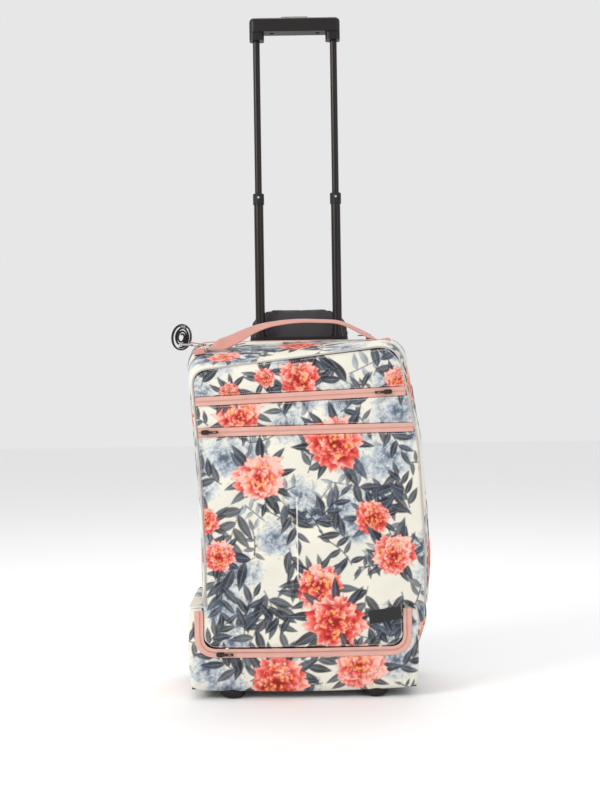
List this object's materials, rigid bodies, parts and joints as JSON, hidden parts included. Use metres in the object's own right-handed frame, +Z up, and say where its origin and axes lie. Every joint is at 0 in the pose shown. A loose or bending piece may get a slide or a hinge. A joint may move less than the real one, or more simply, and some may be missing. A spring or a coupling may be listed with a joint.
{
  "type": "wheeled soft cabin trolley bag",
  "caption": "Soft wheeled carry-on bag with a two-stage pull-out handle, zipped front pockets, a deep hinged cover and a zipped base compartment.",
  "frame": {"origin": "on the floor, under the middle of the bag's bounding box", "axes": "+Z up, -Y is the printed front, +X to the right seen from the front"},
  "size_m": [0.4118, 0.2174, 1.0925],
  "materials": {
    "floral_cloth": "matt woven print",
    "dark_nylon": "matt",
    "pink_webbing": "matt",
    "zip_metal": "satin",
    "black_plastic": "matt",
    "black_tube": "black anodised, satin",
    "grey_plastic": "matt",
    "gloss_black": "gloss",
    "steel": "bright",
    "tyre_rubber": "matt",
    "board": "matt"
  },
  "bodies": {
    "bag": {"back_section": "floral_cloth", "back_lining": "dark_nylon", "back_board": "board", "base_compartment": "floral_cloth", "compartment_floor": "dark_nylon", "base_board": "board", "base_front_panel": "floral_cloth", "base_zip_tape_lower": "pink_webbing", "main_zip_tape_back": "pink_webbing", "wheel_housings": "black_plastic", "wheel_axles": "steel", "housing_screws": "steel", "front_feet": "black_plastic", "foot_screws": "steel", "outer_tubes": "black_tube", "outer_tube_bushes": "black_plastic", "handle_bezel": "black_plastic", "handle_foot_bracket": "black_plastic", "tube_clamps": "black_plastic", "clamp_rivets": "steel", "rear_pad_flap": "dark_nylon", "rear_slip_pocket": "dark_nylon"},
    "cover": {"cover_shell": "floral_cloth", "face_panels": "floral_cloth", "face_welt": "floral_cloth", "pocket_zip_tapes": "pink_webbing", "main_zip_tape_cover": "pink_webbing", "handle_anchors": "pink_webbing", "ring_tab": "pink_webbing"},
    "base_flap": {"base_flap": "floral_cloth", "blank_label": "dark_nylon", "base_zip_tape_upper": "pink_webbing"},
    "middle_stage": {"middle_tubes": "black_tube", "middle_tube_bushes": "black_plastic", "stage_collars": "black_plastic"},
    "grip_stage": {"inner_tubes": "black_tube", "inner_tube_bushes": "black_plastic", "grip_lower": "gloss_black", "grip_upper": "gloss_black", "grip_screws": "steel"},
    "release_button": {"release_button": "grey_plastic"},
    "lock_pins": {"lock_pins": "steel"},
    "wheel_left": {"tyre_left": "tyre_rubber", "wheel_hub_left": "black_plastic", "wheel_bearings_left": "steel"},
    "wheel_right": {"tyre_right": "tyre_rubber", "wheel_hub_right": "black_plastic", "wheel_bearings_right": "steel"},
    "upper_zip_slider": {"upper_zip_slider": "zip_metal"},
    "upper_zip_pull": {"upper_zip_pull": "zip_metal"},
    "lower_zip_slider": {"lower_zip_slider": "zip_metal"},
    "lower_zip_pull": {"lower_zip_pull": "zip_metal"},
    "base_zip_slider": {"base_zip_slider": "zip_metal"},
    "base_zip_pull": {"base_zip_pull": "zip_metal"},
    "main_zip_slider": {"main_zip_slider": "zip_metal"},
    "main_zip_pull": {"main_zip_pull": "zip_metal"},
    "grab_handle": {"grab_handle": "pink_webbing"},
    "side_ring": {"side_ring": "steel", "strap_loop": "dark_nylon", "strap_slider": "grey_plastic"}
  },
  "joints": [
    {"name": "middle_stage_slide", "type": "slide", "parent": "bag", "child": "middle_stage", "axis": [0, 0, 1], "range_m": [-0.205, 0]},
    {"name": "grip_stage_slide", "type": "slide", "parent": "middle_stage", "child": "grip_stage", "axis": [0, 0, 1], "range_m": [-0.248, 0]},
    {"name": "button_press", "type": "slide", "parent": "grip_stage", "child": "release_button", "axis": [0, 0, 1], "range_m": [-0.0025, 0], "stiffness_N_per_m": 400},
    {"name": "lock_pin_draw", "type": "slide", "parent": "middle_stage", "child": "lock_pins", "axis": [0, -1, 0], "range_m": [0, 0.0016]},
    {"name": "wheel_left_spin", "type": "hinge", "parent": "bag", "child": "wheel_left", "pos_m": [-0.149, 0.078, 0.03], "axis": [1, 0, 0], "continuous": true},
    {"name": "wheel_right_spin", "type": "hinge", "parent": "bag", "child": "wheel_right", "pos_m": [0.149, 0.078, 0.03], "axis": [1, 0, 0], "continuous": true},
    {"name": "cover_open", "type": "hinge", "parent": "bag", "child": "cover", "pos_m": [0, -0.103, 0.1445], "axis": [1, 0, 0], "range_deg": [0, 95]},
    {"name": "base_flap_open", "type": "hinge", "parent": "bag", "child": "base_flap", "pos_m": [0, -0.103, 0.1445], "axis": [1, 0, 0], "range_deg": [-75, 0]},
    {"name": "upper_zip_slide", "type": "slide", "parent": "cover", "child": "upper_zip_slider", "axis": [-0.9993, 0, -0.0384], "range_m": [0, 0.25]},
    {"name": "upper_pull_swing", "type": "hinge", "parent": "upper_zip_slider", "child": "upper_zip_pull", "pos_m": [0.1339, -0.10755, 0.46822], "axis": [-0.0384, 0, 0.9993], "range_deg": [0, 150]},
    {"name": "lower_zip_slide", "type": "slide", "parent": "cover", "child": "lower_zip_slider", "axis": [0.9999, 0, 0.0122], "range_m": [0, 0.275]},
    {"name": "lower_pull_swing", "type": "hinge", "parent": "lower_zip_slider", "child": "lower_zip_pull", "pos_m": [-0.14499, -0.10755, 0.41018], "axis": [-0.0122, 0, 0.9999], "range_deg": [-150, 0]},
    {"name": "base_zip_slide", "type": "slide", "parent": "bag", "child": "base_zip_slider", "axis": [1, 0, 0], "range_m": [0, 0.22]},
    {"name": "base_pull_swing", "type": "hinge", "parent": "base_zip_slider", "child": "base_zip_pull", "pos_m": [-0.127, -0.1064, 0.071], "axis": [0, 0, 1], "range_deg": [-150, 0]},
    {"name": "main_zip_slide", "type": "slide", "parent": "bag", "child": "main_zip_slider", "axis": [1, 0, 0], "range_m": [-0.24, 0]},
    {"name": "main_pull_swing", "type": "hinge", "parent": "main_zip_slider", "child": "main_zip_pull", "pos_m": [0.117, 0.0658, 0.5614], "axis": [0, 1, 0], "range_deg": [0, 150]},
    {"name": "grab_handle_sway", "type": "hinge", "parent": "cover", "child": "grab_handle", "pos_m": [-0.146, -0.022, 0.53784], "axis": [0.9985, 0, 0.0539], "range_deg": [-20, 20], "stiffness_Nm_per_rad": 0.15},
    {"name": "side_ring_swing", "type": "hinge", "parent": "cover", "child": "side_ring", "pos_m": [-0.175, 0.03, 0.5492], "axis": [0, 1, 0], "range_deg": [0, 35]}
  ],
  "couplings": [
    {"joint": "lock_pin_draw", "follows": "button_press", "ratio": -0.6}
  ]
}
